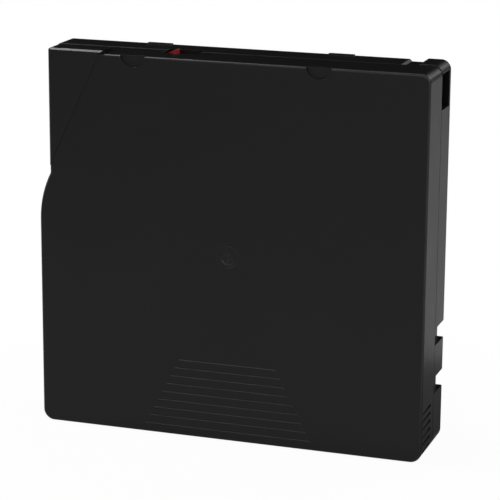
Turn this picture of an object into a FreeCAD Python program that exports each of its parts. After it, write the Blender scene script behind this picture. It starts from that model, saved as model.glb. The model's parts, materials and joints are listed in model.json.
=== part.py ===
"""Single-reel data tape cartridge, as a parametric FreeCAD document.

Every sub-part is drawn in the case's own coordinates: x from the left side, z up from the end
that the cartridge stands on, and depth from the near face towards the face with the drive
opening. A shared placement then centres the case on x = 0 and y = 0.
"""
import math
import os

import FreeCAD
import Part
import Sketcher

DRIVING_SIZES = {
    # The case
    "case_width": 105.4,
    "case_height": 102.0,
    "case_depth": 21.5,
    "near_depth": 12.2,
    "plate": 2.0,
    "side_wall": 1.8,
    "edge_round": 0.7,
    "seam_bevel": 0.15,
    "base_corner": 3.0,
    "top_corner": 2.5,
    "face_step": 0.2,
    "top_recess": 0.8,
    # The corner over the leader pin, and the narrower side beside it
    "corner_run": 18.5,
    "corner_fall": 31.3,
    "corner_slope": 1.05,
    "corner_depth": 7.5,
    "corner_bevel": 0.45,
    "side_inset": 3.1,
    "far_inset": 0.6,
    "inset_run": 33.3,
    "inset_blend": 12.7,
    # Small features of the outside
    "moon_radius": 3.4,
    "moon_drop": 3.1,
    "moon_cut": 0.8,
    "moon_left": 26.6,
    "moon_right": 76.6,
    "tab_rise": 0.3,
    "key_left": 94.6,
    "key_width": 4.3,
    "key_cut": 0.6,
    "key_lip": 0.4,
    "gate_radius": 2.2,
    "gate_cut": 0.25,
    "thumb_first": 2.4,
    "thumb_pitch": 2.3,
    "thumb_width": 0.55,
    "thumb_rise": 0.15,
    "thumb_bevel": 0.13,
    "thumb_low_half": 22.8,
    "thumb_high_half": 13.4,
    "grip_first": 2.2,
    "grip_pitch": 2.1,
    "grip_width": 0.75,
    "grip_cut": 0.5,
    "grip_start": 1.3,
    "grip_reach": 9.6,
    "notch_low": 14.9,
    "notch_high": 28.2,
    "notch_tall": 4.6,
    "notch_cut": 1.7,
    "socket_low": 90.0,
    "socket_tall": 9.3,
    "socket_cut": 5.0,
    "socket_back": 1.5,
    # The reel and the tape
    "reel_height": 50.0,
    "flange_radius": 45.5,
    "flange_thick": 1.1,
    "flange_gap": 13.0,
    "hub_radius": 22.0,
    "hub_wall": 3.5,
    "web_thick": 2.0,
    "hub_step": 1.85,
    "pack_radius": 42.0,
    "tape_width": 12.65,
    "tape_skin": 0.3,
    "hub_opening": 20.0,
    "drive_outer": 18.2,
    "drive_inner": 15.4,
    "drive_tooth": 1.5,
    "drive_land": 0.5,
    "plate_radius": 15.1,
    "plate_hole": 5.0,
    "plate_thick": 1.0,
    # The brake
    "brake_outer": 15.0,
    "brake_inner": 11.6,
    "brake_tooth": 1.2,
    "brake_disc": 2.0,
    "brake_travel": 1.6,
    "tooth_play": 0.15,
    "collar_radius": 7.0,
    "collar_length": 5.6,
    "post_radius": 3.0,
    "post_rib": 4.6,
    "post_length": 5.6,
    "post_play": 0.3,
    "button_radius": 3.6,
    "button_rise": 0.9,
    "leg_circle": 9.2,
    "leg_radius": 1.3,
    "leg_hole": 1.6,
    "pad_radius": 11.2,
    "pad_thick": 0.9,
    "pad_well": 11.6,
    "brake_wire": 0.6,
    "brake_coil": 8.3,
    "brake_turns": 3.0,
    # The leader pin
    "pin_left": 6.65,
    "pin_height": 88.0,
    "pin_radius": 1.5,
    "pin_end": 2.5,
    "pin_collar": 1.0,
    "pin_length": 15.2,
    "seat_gap": 0.3,
    "seat_wall": 0.9,
    "seat_rise": 1.05,
    "clip_wall": 0.7,
    "clip_length": 12.0,
    "leaf_thick": 0.3,
    "leaf_run": 7.2,
    "leaf_wide": 2.2,
    # The door in the left side
    "door_wall": 1.0,
    "door_thick": 1.2,
    "door_low": 77.0,
    "door_high": 98.0,
    "door_lap": 1.0,
    "door_lip": 0.8,
    "slide_gap": 0.2,
    "channel_low": 53.0,
    "rail_thick": 0.8,
    "rail_rise": 0.9,
    "spring_seat": 24.0,
    "seat_block": 2.0,
    "door_wire": 0.35,
    "door_coil": 1.2,
    "door_turns": 8.0,
    "door_foot": 1.2,
    "foot_wide": 4.0,
    "grip_line": 0.9,
    # The write-protect switch
    "window_left": 31.8,
    "window_run": 9.6,
    "window_half": 3.2,
    "switch_travel": 3.6,
    "switch_thick": 1.2,
    "switch_lap": 1.3,
    "arrow_start": 0.9,
    "arrow_run": 2.5,
    "arrow_half": 2.2,
    "arrow_side": 1.0,
    "arrow_rise": 0.7,
    "arrow_dip": 0.5,
    "well_start": 0.4,
    "well_run": 1.9,
    "well_cut": 0.8,
    "shelf_thick": 0.9,
    # Fasteners, locating holes and the memory chip
    "boss_radius": 3.4,
    "screw_shank": 1.1,
    "screw_head": 2.0,
    "head_thick": 1.5,
    "sink_radius": 2.35,
    "sink_cut": 3.0,
    "screw_start": 4.2,
    "screw_side": 6.4,
    "screw_base": 6.4,
    "screw_top": 7.2,
    "screw_corner": 16.6,
    "guide_radius": 2.5,
    "guide_cut": 5.0,
    "guide_side": 15.0,
    "guide_base": 12.5,
    "guide_slot": 1.5,
    "chip_side": 17.0,
    "chip_start": 3.0,
    "chip_run": 9.2,
    "chip_thick": 0.8,
    "chip_wide": 14.0,
    "chip_post": 0.8,
    "fit": 0.1,
}
SHEET = "Sizes"
DRIVE_TEETH = 24
BRAKE_TEETH = 12
RELEASE_LEGS = 3
THUMB_RIBS = 9
GRIP_GROOVES = 6
DOOR_GROOVES = 3
# Shares of half a tooth pitch, or of a piece's thickness, that a detail takes
DRIVE_TIP = 0.25
DRIVE_ROOT = 0.85
BRAKE_TIP = 0.4
BRAKE_ROOT = 0.7
SCREW_CROSS_LONG = 0.65
SCREW_CROSS_WIDE = 0.25
RIM_CHAMFER = 0.25
SEAT_OVERLAP = 2
CORNER_TURN = 0.9

doc = FreeCAD.newDocument("tape_cartridge")


class Size:
    """A number together with the sheet expression that gives it."""

    def __init__(self, value, text):
        self.value = float(value)
        self.text = text

    @staticmethod
    def of(other):
        return other if isinstance(other, Size) else Size(other, repr(float(other)))

    def __add__(self, other):
        other = Size.of(other)
        return Size(self.value + other.value, f"({self.text} + {other.text})")

    def __sub__(self, other):
        other = Size.of(other)
        return Size(self.value - other.value, f"({self.text} - {other.text})")

    def __mul__(self, other):
        other = Size.of(other)
        return Size(self.value * other.value, f"({self.text} * {other.text})")

    def __truediv__(self, other):
        other = Size.of(other)
        return Size(self.value / other.value, f"({self.text} / {other.text})")

    def __radd__(self, other):
        return Size.of(other) + self

    def __rsub__(self, other):
        return Size.of(other) - self

    def __rmul__(self, other):
        return Size.of(other) * self


def root(size):
    """The square root of a size."""
    return Size(math.sqrt(size.value), f"sqrt({size.text})")


def fill_sheet():
    """Put the driving sizes in a spreadsheet, one alias each, and return them as sizes."""
    sheet = doc.addObject("Spreadsheet::Sheet", SHEET)
    sizes = {}
    for row, (name, value) in enumerate(DRIVING_SIZES.items(), start=1):
        sheet.set(f"A{row}", name)
        sheet.set(f"B{row}", str(value))
        sheet.setAlias(f"B{row}", name)
        sizes[name] = Size(value, f"{SHEET}.{name}")
    doc.recompute()
    return sizes


S = fill_sheet()
ZERO = Size(0.0, "0")

# Places that several pieces share
width = S["case_width"]
height = S["case_height"]
depth = S["case_depth"]
seam = S["near_depth"]
near_face = S["face_step"]
near_floor = S["face_step"] + S["plate"]
far_floor = depth - S["plate"]
middle = (near_floor + far_floor) / 2
top = height - S["top_recess"]
ceiling = top - S["side_wall"]
inset = S["side_inset"]
corner_round = S["top_recess"] * CORNER_TURN
door_plane = inset + S["door_wall"]
inset_high = height - S["inset_run"]
inset_low = inset_high - S["inset_blend"]
reel_x = width / 2
reel_z = S["reel_height"]
flange_far = middle + S["flange_gap"] / 2
flange_near = middle - S["flange_gap"] / 2
reel_far = flange_far + S["flange_thick"]
reel_near = flange_near - S["flange_thick"]
web_near = flange_far - S["hub_step"] - S["web_thick"]
web_far = flange_far - S["hub_step"]
plate_near = web_far + S["brake_travel"] + S["pad_thick"] + S["fit"] * 2
brake_root = web_near - S["brake_tooth"] - S["tooth_play"]
brake_near = brake_root - S["brake_disc"]
pin_x = inset + S["pin_left"]
pin_z = S["pin_height"]
pin_near = middle - S["pin_length"] / 2
pin_far = middle + S["pin_length"] / 2
door_x = door_plane + S["slide_gap"]
door_inner = door_x + S["door_thick"]
door_bottom = S["door_low"] - S["door_lap"]
door_top = S["door_high"] + S["door_lap"]
spring_x = door_x + S["door_coil"] + S["door_wire"] / 2
switch_x = S["window_left"] - S["switch_lap"]
switch_top = ceiling - S["fit"]
switch_bottom = switch_top - S["switch_thick"]
window_right = S["window_left"] + S["window_run"]

SCREWS = (
    (S["screw_side"], S["screw_base"]),
    (width - S["screw_side"], S["screw_base"]),
    (width - S["screw_side"] - S["socket_cut"], top - S["screw_top"]),
    (S["screw_corner"], top - S["screw_top"]),
)


def bind(thing, path, size):
    """Tie a property to the sheet."""
    thing.setExpression(path, Size.of(size).text)


def settle(thing, label):
    """Name a finished sub-part and centre it with the case."""
    thing.Label = label
    thing.setExpression("Placement.Base.x", f"-{width.text} / 2")
    thing.setExpression("Placement.Base.y", f"-{depth.text} / 2")
    doc.recompute()
    return thing


def new_body(label):
    """Start a PartDesign body."""
    return doc.addObject("PartDesign::Body", label)


def plane_of(body, role):
    """One of the body's origin planes."""
    return next(item for item in body.Origin.OriginFeatures if item.Role == role)


def new_sketch(body, name, level):
    """A sketch parallel to the near face, at a depth from it."""
    sketch = body.newObject("Sketcher::SketchObject", name)
    sketch.AttachmentSupport = (plane_of(body, "XZ_Plane"), [""])
    sketch.MapMode = "FlatFace"
    sketch.setExpression("AttachmentOffset.Base.z", f"-({Size.of(level).text})")
    return sketch


def fix_point(sketch, element, point, x, z):
    """Hold a point of a sketch at sheet sizes."""
    for kind, size in (("DistanceX", x), ("DistanceY", z)):
        size = Size.of(size)
        index = sketch.addConstraint(Sketcher.Constraint(kind, -1, 1, element, point, size.value))
        sketch.setExpression(f"Constraints[{index}]", size.text)


def draw_loop(sketch, corners, arc_after=None):
    """Draw a closed outline; arc_after names a corner whose next edge is an arc level with it."""
    corners = [(Size.of(x), Size.of(z)) for x, z in corners]
    first = sketch.GeometryCount
    count = len(corners)
    for index, (x, z) in enumerate(corners):
        next_x, next_z = corners[(index + 1) % count]
        start = FreeCAD.Vector(x.value, z.value, 0)
        end = FreeCAD.Vector(next_x.value, next_z.value, 0)
        if index == arc_after:
            sketch.addGeometry(level_arc(start, end))
        else:
            sketch.addGeometry(Part.LineSegment(start, end))
    for index, (x, z) in enumerate(corners):
        is_arc = index == arc_after
        fix_point(sketch, first + index, 2 if is_arc else 1, x, z)
        following = first + (index + 1) % count
        leaving = 1 if is_arc else 2
        entering = 2 if (index + 1) % count == arc_after else 1
        sketch.addConstraint(Sketcher.Constraint("Coincident", first + index, leaving, following, entering))
        if is_arc:
            held = sketch.addConstraint(Sketcher.Constraint("DistanceY", -1, 1, first + index, 3, z.value))
            sketch.setExpression(f"Constraints[{held}]", z.text)


def level_arc(start, end):
    """The arc from start up to end whose centre is level with start, drawn anticlockwise."""
    across = end.x - start.x
    rise = end.y - start.y
    radius = (across**2 + rise**2) / (2 * across)
    centre = FreeCAD.Vector(start.x + radius, start.y, 0)
    turn = math.atan2(rise, across - radius)
    circle = Part.Circle(centre, FreeCAD.Vector(0, 0, 1), radius)
    return Part.ArcOfCircle(circle, turn, math.pi)


def draw_box(sketch, left, right, low, high):
    """Draw a rectangle from its four limits."""
    draw_loop(sketch, [(left, low), (right, low), (right, high), (left, high)])


def draw_circle(sketch, x, z, radius):
    """Draw a circle at a fixed centre."""
    x, z, radius = Size.of(x), Size.of(z), Size.of(radius)
    centre = FreeCAD.Vector(x.value, z.value, 0)
    circle = Part.Circle(centre, FreeCAD.Vector(0, 0, 1), radius.value)
    index = sketch.addGeometry(circle)
    fix_point(sketch, index, 3, x, z)
    held = sketch.addConstraint(Sketcher.Constraint("Radius", index, radius.value))
    sketch.setExpression(f"Constraints[{held}]", radius.text)


def pad(body, sketch, length):
    """Add material from the sketch away from the near face."""
    feature = body.newObject("PartDesign::Pad", sketch.Name + "_pad")
    feature.Profile = sketch
    feature.Reversed = True
    bind(feature, "Length", length)
    sketch.Visibility = False
    return feature


def pocket(body, sketch, length):
    """Cut from the sketch away from the near face, and check that something was cut."""
    doc.recompute()
    before = body.Shape.Volume
    feature = body.newObject("PartDesign::Pocket", sketch.Name + "_cut")
    feature.Profile = sketch
    bind(feature, "Length", length)
    doc.recompute()
    if body.Shape.Volume > before - 1e-6:
        raise RuntimeError(sketch.Name + " cuts nothing")
    return feature


def pick_edges(feature, wanted):
    """Names of the edges of a feature that a test accepts."""
    return [f"Edge{n}" for n, edge in enumerate(feature.Shape.Edges, start=1) if wanted(edge)]


def dress(body, kind, name, size, wanted):
    """Fillet or chamfer the chosen edges of the body's last feature."""
    doc.recompute()
    base = body.Tip
    names = pick_edges(base, wanted)
    if not names:
        raise RuntimeError(name + " finds no edge")
    feature = body.newObject("PartDesign::" + kind, name)
    feature.Base = (base, names)
    bind(feature, "Radius" if kind == "Fillet" else "Size", size)
    doc.recompute()
    return feature


def runs_deep_at(x, z):
    """A test for the edge that runs away from the near face at a place in the outline."""
    def wanted(edge):
        ends = [vertex.Point for vertex in edge.Vertexes]
        near = all(abs(end.x - x.value) + abs(end.z - z.value) < 0.01 for end in ends)
        return len(ends) == 2 and near and abs(ends[0].y - ends[1].y) > 1
    return wanted


def lies_at(level, inside=None):
    """A test for edges that lie in one plane parallel to the near face."""
    def wanted(edge):
        box = edge.BoundBox
        flat = abs(box.YMin - level.value) + abs(box.YMax - level.value) < 0.01
        return flat and (inside is None or inside(box))
    return wanted


def thickness(start, end):
    """The distance from one depth to another."""
    return Size.of(end) - start


def shell_outline(sketch, side, top_line):
    """A half's outline, with its inset on the left and the corners along its top."""
    corners = [(ZERO, inset_low), (side, inset_high)]
    corners += top_line
    corners += [(width, ZERO), (ZERO, ZERO)]
    draw_loop(sketch, corners, arc_after=0)


def inner_outline(sketch):
    """The hollow of the case, with the channel that the door's spring lies in."""
    draw_loop(sketch, [
        (S["side_wall"], S["side_wall"]),
        (width - S["side_wall"], S["side_wall"]),
        (width - S["side_wall"], ceiling),
        (door_plane, ceiling),
        (door_plane, S["channel_low"]),
        (S["side_wall"], S["channel_low"]),
    ])


def add_pillars(body, name, places, radius, start, end):
    """Round pillars that stand between two depths."""
    sketch = new_sketch(body, name, start)
    for x, z in places:
        draw_circle(sketch, x, z, radius)
    return pad(body, sketch, thickness(start, end))


def cut_rounds(body, name, places, radius, start, end):
    """Round holes between two depths."""
    sketch = new_sketch(body, name, start)
    for x, z in places:
        draw_circle(sketch, x, z, radius)
    return pocket(body, sketch, thickness(start, end))


def add_blocks(body, name, boxes, start, end):
    """Square-cornered ribs and blocks between two depths."""
    sketch = new_sketch(body, name, start)
    for limits in boxes:
        draw_box(sketch, *limits)
    return pad(body, sketch, thickness(start, end))


def cut_blocks(body, name, boxes, start, end):
    """Square-cornered cuts between two depths."""
    sketch = new_sketch(body, name, start)
    for limits in boxes:
        draw_box(sketch, *limits)
    return pocket(body, sketch, thickness(start, end))


def door_cut():
    """Limits of the doorway in the left side."""
    return ZERO, door_plane + S["fit"], S["door_low"], S["door_high"]


def window_cut():
    """Limits of the switch window in the recessed end."""
    return S["window_left"], window_right, ceiling - S["fit"], top + S["fit"]


def switch_shelf():
    """Limits of the shelf that the switch slides on."""
    high = switch_bottom - S["fit"]
    right = window_right + S["switch_lap"] + S["switch_travel"]
    return switch_x - S["switch_lap"], right, high - S["shelf_thick"], high


def door_rail():
    """Limits of the rail that keeps the door against the side."""
    left = door_inner + S["slide_gap"]
    return left, left + S["rail_thick"], S["channel_low"] + S["door_lap"], ceiling


def leaf_posts():
    """Limits of the two posts that hold a pin spring."""
    left = pin_x - S["pin_end"] - S["seat_gap"] - S["leaf_thick"]
    low = pin_z + S["leaf_run"] - S["seat_wall"] * SEAT_OVERLAP
    high = pin_z + S["leaf_run"]
    return [
        (left - S["seat_wall"], left, low, high),
        (left + S["leaf_thick"], left + S["leaf_thick"] + S["seat_wall"], low, high),
    ]


def draw_horseshoe(sketch):
    """The wall round a pin end, open towards the doorway."""
    inner = S["pin_end"] + S["seat_gap"]
    outer = inner + S["seat_wall"]
    draw_loop(sketch, [
        (pin_x - S["pin_end"] / 2, pin_z - outer),
        (pin_x + outer, pin_z - outer),
        (pin_x + outer, pin_z + outer),
        (pin_x - S["pin_end"] / 2, pin_z + outer),
        (pin_x - S["pin_end"] / 2, pin_z + inner),
        (pin_x + inner, pin_z + inner),
        (pin_x + inner, pin_z - inner),
        (pin_x - S["pin_end"] / 2, pin_z - inner),
    ])


def add_pin_seat(body, name, start, end):
    """The wall round a pin end, and the posts of the spring that holds it."""
    wall = new_sketch(body, name + "_wall", start)
    draw_horseshoe(wall)
    pad(body, wall, thickness(start, end))
    add_blocks(body, name + "_posts", leaf_posts(), start, end)


def make_near_shell():
    """The moulded half with the thumb ribs and the raised corner."""
    body = new_body("near_shell")
    outline = new_sketch(body, "near_outline", near_face)
    shell_outline(outline, inset, [(inset, top), (width, top)])
    pad(body, outline, thickness(near_face, seam))
    for name, x, z, radius in (
        ("near_base_left", ZERO, ZERO, S["base_corner"]),
        ("near_base_right", width, ZERO, S["base_corner"]),
        ("near_top_right", width, top, S["top_corner"]),
    ):
        dress(body, "Fillet", name, radius, runs_deep_at(x, z))
    dress(body, "Fillet", "near_edges", S["edge_round"], lies_at(near_face))
    dress(body, "Chamfer", "near_seam", S["seam_bevel"], lies_at(seam))
    corner = new_sketch(body, "raised_corner", ZERO)
    draw_loop(corner, [
        (inset, height - S["corner_fall"]),
        (S["corner_run"] - S["corner_slope"], top),
        (S["corner_run"], height),
        (inset, height),
    ])
    pad(body, corner, S["corner_depth"])
    dress(body, "Fillet", "corner_turn", corner_round, runs_deep_at(inset, height))
    dress(body, "Chamfer", "corner_edge", S["corner_bevel"], lies_at(ZERO, follows_corner))
    hollow = new_sketch(body, "near_hollow", near_floor)
    inner_outline(hollow)
    pocket(body, hollow, thickness(near_floor, seam))
    add_near_inside(body)
    cut_near_outside(body)
    return settle(body, "near_shell")


def follows_corner(box):
    """Whether an edge of the raised corner follows the top or the left side of the case."""
    along_side = box.XMax < (inset + corner_round).value + 0.01
    return along_side or box.ZMin > height.value - 0.01


def add_near_inside(body):
    """Bosses, brake post, rails, shelf and pin seat of the near half."""
    add_pillars(body, "near_bosses", SCREWS, S["boss_radius"], near_floor, seam)
    cut_rounds(body, "pilot_holes", SCREWS, S["screw_shank"], S["screw_start"], seam)
    post_end = near_floor + S["post_length"]
    add_pillars(body, "brake_post", [(reel_x, reel_z)], S["post_radius"], near_floor, post_end)
    for name, wide, tall in (
        ("post_cross", S["post_rib"], S["seat_wall"]),
        ("post_upright", S["seat_wall"], S["post_rib"]),
    ):
        add_blocks(body, name, [(reel_x - wide, reel_x + wide, reel_z - tall, reel_z + tall)],
                   near_floor, post_end)
    add_blocks(body, "near_rail", [door_rail()], near_floor, near_floor + S["rail_rise"])
    add_blocks(body, "near_shelf", [switch_shelf()], near_floor, seam)
    add_pin_seat(body, "near_seat", near_floor, pin_near + S["seat_rise"])


def cut_near_outside(body):
    """Doorway, window, half-moons, grooves, ribs and gate mark of the near half."""
    cut_blocks(body, "near_doorway", [door_cut()], near_floor + S["door_lip"], seam)
    cut_blocks(body, "near_window", [window_cut()], middle - S["window_half"], seam)
    cut_rounds(body, "half_moons", moon_places(), S["moon_radius"], ZERO, near_face + S["moon_cut"])
    cut_rounds(body, "gate_mark", [(reel_x, reel_z)], S["gate_radius"],
               near_face, near_face + S["gate_cut"])
    cut_blocks(body, "grip_grooves", grip_limits(), S["grip_start"], S["grip_reach"])
    add_thumb_ribs(body)


def add_thumb_ribs(body):
    """The low ribs on the near face, each with a bevel all round."""
    rib_face = near_face - S["thumb_rise"]
    add_blocks(body, "thumb_ribs", thumb_limits(), rib_face, near_face + S["fit"])
    dress(body, "Chamfer", "thumb_edges", S["thumb_bevel"], lies_at(rib_face))


def moon_places():
    """Centres of the two half-moons, above the edge so that less than half a circle is cut."""
    level = top - S["moon_drop"] + S["moon_radius"]
    return [(S["moon_left"], level), (S["moon_right"], level)]


def thumb_limits():
    """Limits of the thumb ribs, which shorten from the base up."""
    limits = []
    shrink = (S["thumb_low_half"] - S["thumb_high_half"]) / (THUMB_RIBS - 1)
    for step in range(THUMB_RIBS):
        low = S["thumb_first"] + S["thumb_pitch"] * step - S["thumb_width"] / 2
        half = S["thumb_low_half"] - shrink * step
        limits.append((reel_x - half, reel_x + half, low, low + S["thumb_width"]))
    return limits


def grip_limits():
    """Limits of the grooves across both sides near the base."""
    limits = []
    for step in range(GRIP_GROOVES):
        low = S["grip_first"] + S["grip_pitch"] * step
        high = low + S["grip_width"]
        limits.append((ZERO - S["fit"], S["grip_cut"], low, high))
        limits.append((width - S["grip_cut"], width + S["fit"], low, high))
    return limits


def make_far_shell():
    """The moulded half with the drive opening, the screws and the locating holes."""
    body = new_body("far_shell")
    outline = new_sketch(body, "far_outline", seam)
    key_right = S["key_left"] + S["key_width"]
    shell_outline(outline, S["far_inset"], [
        (S["far_inset"], top),
        (S["key_left"], top),
        (S["key_left"] + S["key_cut"], top - S["key_cut"]),
        (key_right, top - S["key_cut"]),
        (key_right + S["key_cut"], top + S["key_lip"]),
        (width, top + S["key_lip"]),
    ])
    pad(body, outline, thickness(seam, depth))
    for name, x, z, radius in (
        ("far_base_left", ZERO, ZERO, S["base_corner"]),
        ("far_base_right", width, ZERO, S["base_corner"]),
        ("far_top_right", width, top + S["key_lip"], S["top_corner"]),
        ("far_top_left", S["far_inset"], top, corner_round),
    ):
        dress(body, "Fillet", name, radius, runs_deep_at(x, z))
    dress(body, "Chamfer", "far_edges", S["key_cut"] / 2, lies_at(depth))
    dress(body, "Chamfer", "far_seam", S["seam_bevel"], lies_at(seam))
    hollow = new_sketch(body, "far_hollow", seam)
    inner_outline(hollow)
    pocket(body, hollow, thickness(seam, far_floor))
    add_far_inside(body)
    cut_far_outside(body)
    return settle(body, "far_shell")


def guide_places():
    """Centres of the round locating hole and of the two ends of the slotted one."""
    x_left = S["guide_side"]
    x_right = width - S["guide_side"]
    slot = [(x_left - S["guide_slot"], S["guide_base"]), (x_left + S["guide_slot"], S["guide_base"])]
    return [(x_right, S["guide_base"])], slot


def add_far_inside(body):
    """Bosses, socket walls, rails, shelf, chip slot and spring seat of the far half."""
    round_hole, slot = guide_places()
    add_pillars(body, "far_bosses", SCREWS, S["boss_radius"], seam, far_floor)
    guide_boss = S["guide_radius"] + S["seat_wall"]
    start = depth - S["guide_cut"] - S["seat_wall"]
    add_pillars(body, "guide_boss", round_hole, guide_boss, start, far_floor)
    add_blocks(body, "slot_boss", [(
        slot[0][0] - guide_boss, slot[1][0] + guide_boss,
        S["guide_base"] - guide_boss, S["guide_base"] + guide_boss,
    )], start, far_floor)
    add_blocks(body, "socket_walls", [(
        width - S["socket_cut"] - S["side_wall"], width - S["side_wall"],
        S["socket_low"] - S["side_wall"], ceiling,
    )], seam, far_floor)
    add_blocks(body, "notch_walls", notch_limits(S["side_wall"] + S["notch_cut"], S["side_wall"]),
               seam, far_floor)
    add_blocks(body, "far_rail", [door_rail()], far_floor - S["rail_rise"], far_floor)
    add_blocks(body, "far_shelf", [switch_shelf()], seam, far_floor)
    add_pin_seat(body, "far_seat", pin_far - S["seat_rise"], far_floor)
    add_pillars(body, "chip_posts", chip_posts(), S["chip_post"], seam, far_floor)
    add_blocks(body, "spring_seat", [(
        ZERO + S["side_wall"], spring_x + S["door_coil"],
        S["spring_seat"] - S["seat_block"], S["spring_seat"],
    )], seam - S["door_coil"], far_floor)


def notch_limits(reach, margin):
    """Limits of the picker notches in both sides, with a margin above and below."""
    limits = []
    for low in (S["notch_low"], S["notch_high"]):
        bottom = low - margin
        ceiling_of_notch = low + S["notch_tall"] + margin
        limits.append((ZERO, reach, bottom, ceiling_of_notch))
        limits.append((width - reach, width, bottom, ceiling_of_notch))
    return limits


def cut_far_outside(body):
    """Doorway, window, drive opening, holes, socket and notches of the far half."""
    round_hole, slot = guide_places()
    cut_blocks(body, "far_doorway", [door_cut()], seam, far_floor - S["door_lip"])
    cut_blocks(body, "far_window", [window_cut()], seam, middle + S["window_half"])
    cut_rounds(body, "drive_opening", [(reel_x, reel_z)], S["hub_opening"], far_floor, depth)
    cut_rounds(body, "screw_holes", SCREWS, S["screw_shank"] + S["fit"], seam, depth)
    cut_rounds(body, "screw_sinks", SCREWS, S["sink_radius"], depth - S["sink_cut"], depth)
    cut_rounds(body, "guide_hole", round_hole, S["guide_radius"], depth - S["guide_cut"], depth)
    cut_blocks(body, "guide_slot", [(
        slot[0][0], slot[1][0],
        S["guide_base"] - S["guide_radius"], S["guide_base"] + S["guide_radius"],
    )], depth - S["guide_cut"], depth)
    for index, place in enumerate(slot):
        cut_rounds(body, f"slot_end_{index}", [place], S["guide_radius"], depth - S["guide_cut"], depth)
    socket_back = depth - S["socket_back"]
    cut_blocks(body, "picker_socket", [(
        width - S["socket_cut"], width + S["fit"],
        S["socket_low"], S["socket_low"] + S["socket_tall"],
    )], seam, socket_back)
    cut_blocks(body, "picker_notches", notch_limits(S["notch_cut"], ZERO), seam, depth)
    add_blocks(body, "edge_tabs", [
        (x - S["moon_radius"], x + S["moon_radius"], top - S["tab_rise"], top + S["tab_rise"])
        for x in (S["moon_left"], S["moon_right"])
    ], depth - S["plate"], depth - S["key_cut"] / 2)


def chip_corners():
    """Corners of the memory chip, which stands across the case's corner at 45 degrees."""
    low_x = width - S["side_wall"] - S["chip_side"] + S["chip_start"]
    low_z = S["side_wall"] + S["chip_start"]
    slant = S["chip_thick"] * math.sqrt(2)
    return [
        (low_x, low_z),
        (low_x + S["chip_run"], low_z + S["chip_run"]),
        (low_x + S["chip_run"] - slant, low_z + S["chip_run"]),
        (low_x - slant, low_z),
    ]


def chip_posts():
    """Centres of the four posts that hold the memory chip, two at each end."""
    low, high = chip_corners()[:2]
    inward = S["chip_run"] / 4
    clear = (S["chip_post"] + S["fit"]) / math.sqrt(2)
    across = clear + S["chip_thick"] / math.sqrt(2)
    places = []
    for x, z in ((low[0] + inward, low[1] + inward), (high[0] - inward, high[1] - inward)):
        places.append((x + clear, z - clear))
        places.append((x - across, z + across))
    return places


def settle_on_reel(thing, label):
    """Name a sub-part that is drawn round the reel's axis, and put it on that axis."""
    settle(thing, label)
    thing.setExpression("Placement.Base.x", f"{reel_x.text} - {width.text} / 2")
    thing.setExpression("Placement.Base.z", reel_z.text)
    doc.recompute()
    return thing


def spin_pattern(body, name, feature, count):
    """Repeat a feature evenly round the reel's axis."""
    pattern = body.newObject("PartDesign::PolarPattern", name)
    pattern.Originals = [feature]
    pattern.Axis = (plane_of(body, "Y_Axis"), [""])
    pattern.Angle = 360
    pattern.Occurrences = count
    body.Tip = pattern
    doc.recompute()
    return pattern


def radial_sketch(body, name, reach):
    """A sketch across the +x direction, at a distance from the reel's axis."""
    sketch = body.newObject("Sketcher::SketchObject", name)
    sketch.AttachmentSupport = (plane_of(body, "YZ_Plane"), [""])
    sketch.MapMode = "FlatFace"
    sketch.setExpression("AttachmentOffset.Base.z", Size.of(reach).text)
    return sketch


def cut_teeth(body, name, count, inner, outer, root_level, tip_level, root_half, tip_half):
    """Cut the gaps that leave a ring of tapered teeth, each open at the tip level."""
    sketch = radial_sketch(body, name, outer + S["fit"])
    draw_loop(sketch, [
        (root_level, ZERO - root_half),
        (tip_level, ZERO - tip_half),
        (tip_level, tip_half),
        (root_level, root_half),
    ])
    gap = pocket(body, sketch, thickness(inner, outer) + S["fit"] * 2)
    return spin_pattern(body, name + "_ring", gap, count)


def tooth_pitch(count, radius):
    """The distance between teeth round a ring."""
    return radius * (2 * math.pi / count)


def brake_gap_halves():
    """Half the width of a gap between the hub's brake teeth, at its root and at its tip."""
    half_pitch = tooth_pitch(BRAKE_TEETH, S["brake_inner"]) / 2
    return half_pitch * BRAKE_TIP, half_pitch * BRAKE_ROOT


def leg_places():
    """Centres of the release pad's legs round the reel's axis."""
    turns = [2 * math.pi * leg / RELEASE_LEGS for leg in range(RELEASE_LEGS)]
    return [(S["leg_circle"] * math.cos(turn), S["leg_circle"] * math.sin(turn)) for turn in turns]


def make_reel_hub():
    """The hub, moulded with its far flange, its drive teeth and its brake teeth."""
    body = new_body("reel_hub")
    axis = [(ZERO, ZERO)]
    ring_land = reel_far + S["drive_land"]
    ring_tip = ring_land + S["drive_tooth"]
    add_pillars(body, "barrel", axis, S["hub_radius"], flange_near, reel_far)
    add_pillars(body, "far_flange", axis, S["flange_radius"], flange_far, reel_far)
    add_pillars(body, "drive_ring", axis, S["drive_outer"], web_far, ring_tip)
    cut_rounds(body, "bore", axis, S["hub_radius"] - S["hub_wall"], flange_near, web_near)
    add_pillars(body, "brake_ring", axis, S["brake_outer"], web_near - S["brake_tooth"], web_near)
    cut_rounds(body, "brake_well", axis, S["brake_inner"], web_near - S["brake_tooth"], web_near)
    cut_rounds(body, "pad_well", axis, S["pad_well"], web_far, ring_tip)
    cut_rounds(body, "plate_well", axis, S["drive_inner"], plate_near, ring_tip)
    cut_rounds(body, "leg_holes", leg_places(), S["leg_hole"], web_near, web_far)
    drive_half = tooth_pitch(DRIVE_TEETH, S["drive_inner"]) / 2
    cut_teeth(body, "drive_gap", DRIVE_TEETH, S["drive_inner"], S["drive_outer"],
              ring_land, ring_tip, drive_half * DRIVE_TIP, drive_half * DRIVE_ROOT)
    cut_teeth(body, "brake_gap", BRAKE_TEETH, S["brake_inner"], S["brake_outer"],
              web_near, web_near - S["brake_tooth"], *brake_gap_halves())
    return settle_on_reel(body, "reel_hub")


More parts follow.
